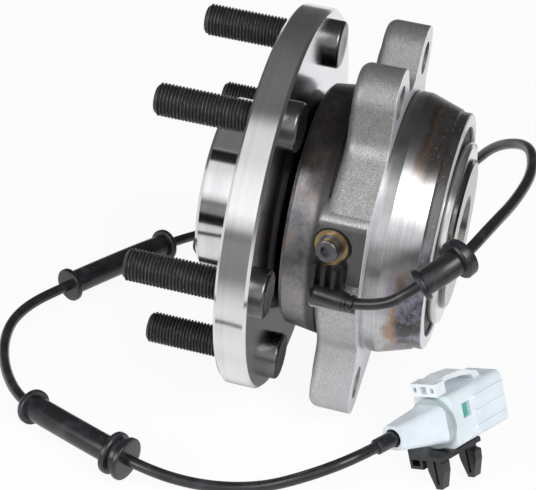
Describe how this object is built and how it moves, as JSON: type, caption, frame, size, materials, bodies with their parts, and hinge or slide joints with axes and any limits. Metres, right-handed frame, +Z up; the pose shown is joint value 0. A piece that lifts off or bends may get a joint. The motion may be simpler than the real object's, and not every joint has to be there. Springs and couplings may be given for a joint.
{
  "type": "wheel hub bearing",
  "caption": "Wheel hub bearing unit with a studded wheel flange, splined bore, eared knuckle mount and a wired speed sensor with grommets and a plug.",
  "frame": {"origin": "centre of the wheel-mounting face, on the spin axis", "axes": "+Y along the spin axis towards the wheel, +Z up, -X towards the speed sensor"},
  "size_m": [0.2387, 0.234, 0.17],
  "materials": {
    "cast_steel": "as-forged, sand-blasted, with machined seats",
    "machined_steel": "turned, bright",
    "black_phosphate_steel": "black phosphate",
    "tone_ring_steel": "pressed, plain",
    "polished_balls": "lapped",
    "cage_polymer": "moulded",
    "seal_rubber": "moulded",
    "black_plastic": "moulded",
    "brass_bush": "turned",
    "zinc_steel": "zinc plated",
    "cable_rubber": "extruded, slight sheen",
    "grommet_rubber": "moulded, matt",
    "pale_plastic": "moulded",
    "grey_green_plastic": "moulded",
    "teal_plastic": "moulded",
    "terminal_brass": "tinned"
  },
  "bodies": {
    "housing": {"housing": "cast_steel", "outboard_seal": "seal_rubber", "inboard_seal": "seal_rubber", "sensor_body": "black_plastic", "sensor_probe": "black_plastic", "sensor_o_ring": "seal_rubber", "sensor_bush": "brass_bush", "sensor_washer": "zinc_steel", "sensor_screw": "zinc_steel", "cable_boot": "cable_rubber", "sensor_cable": "cable_rubber", "cable_sleeve": "cable_rubber", "short_grommet": "grommet_rubber", "long_grommet": "grommet_rubber", "bracket_grommet": "grommet_rubber", "plug_cover": "pale_plastic", "plug_wire_seal": "seal_rubber", "plug_collar": "grey_green_plastic", "plug_body": "pale_plastic", "plug_latch": "grey_green_plastic", "plug_insert": "teal_plastic", "plug_terminals": "terminal_brass", "plug_clip": "black_plastic"},
    "hub": {"wheel_hub": "machined_steel", "inner_ring": "machined_steel", "wheel_studs": "black_phosphate_steel", "tone_ring": "tone_ring_steel"},
    "outboard_row": {"outboard_cage": "cage_polymer", "outboard_balls": "polished_balls"},
    "inboard_row": {"inboard_cage": "cage_polymer", "inboard_balls": "polished_balls"}
  },
  "joints": [
    {"name": "hub_spin", "type": "hinge", "parent": "housing", "child": "hub", "pos_m": [0, -0.05, 0], "axis": [0, 1, 0], "continuous": true},
    {"name": "outboard_row_spin", "type": "hinge", "parent": "housing", "child": "outboard_row", "pos_m": [0, -0.032, 0], "axis": [0, 1, 0], "continuous": true},
    {"name": "inboard_row_spin", "type": "hinge", "parent": "housing", "child": "inboard_row", "pos_m": [0, -0.068, 0], "axis": [0, 1, 0], "continuous": true}
  ],
  "couplings": [
    {"joint": "outboard_row_spin", "follows": "hub_spin", "ratio": 0.426},
    {"joint": "inboard_row_spin", "follows": "hub_spin", "ratio": 0.426}
  ]
}
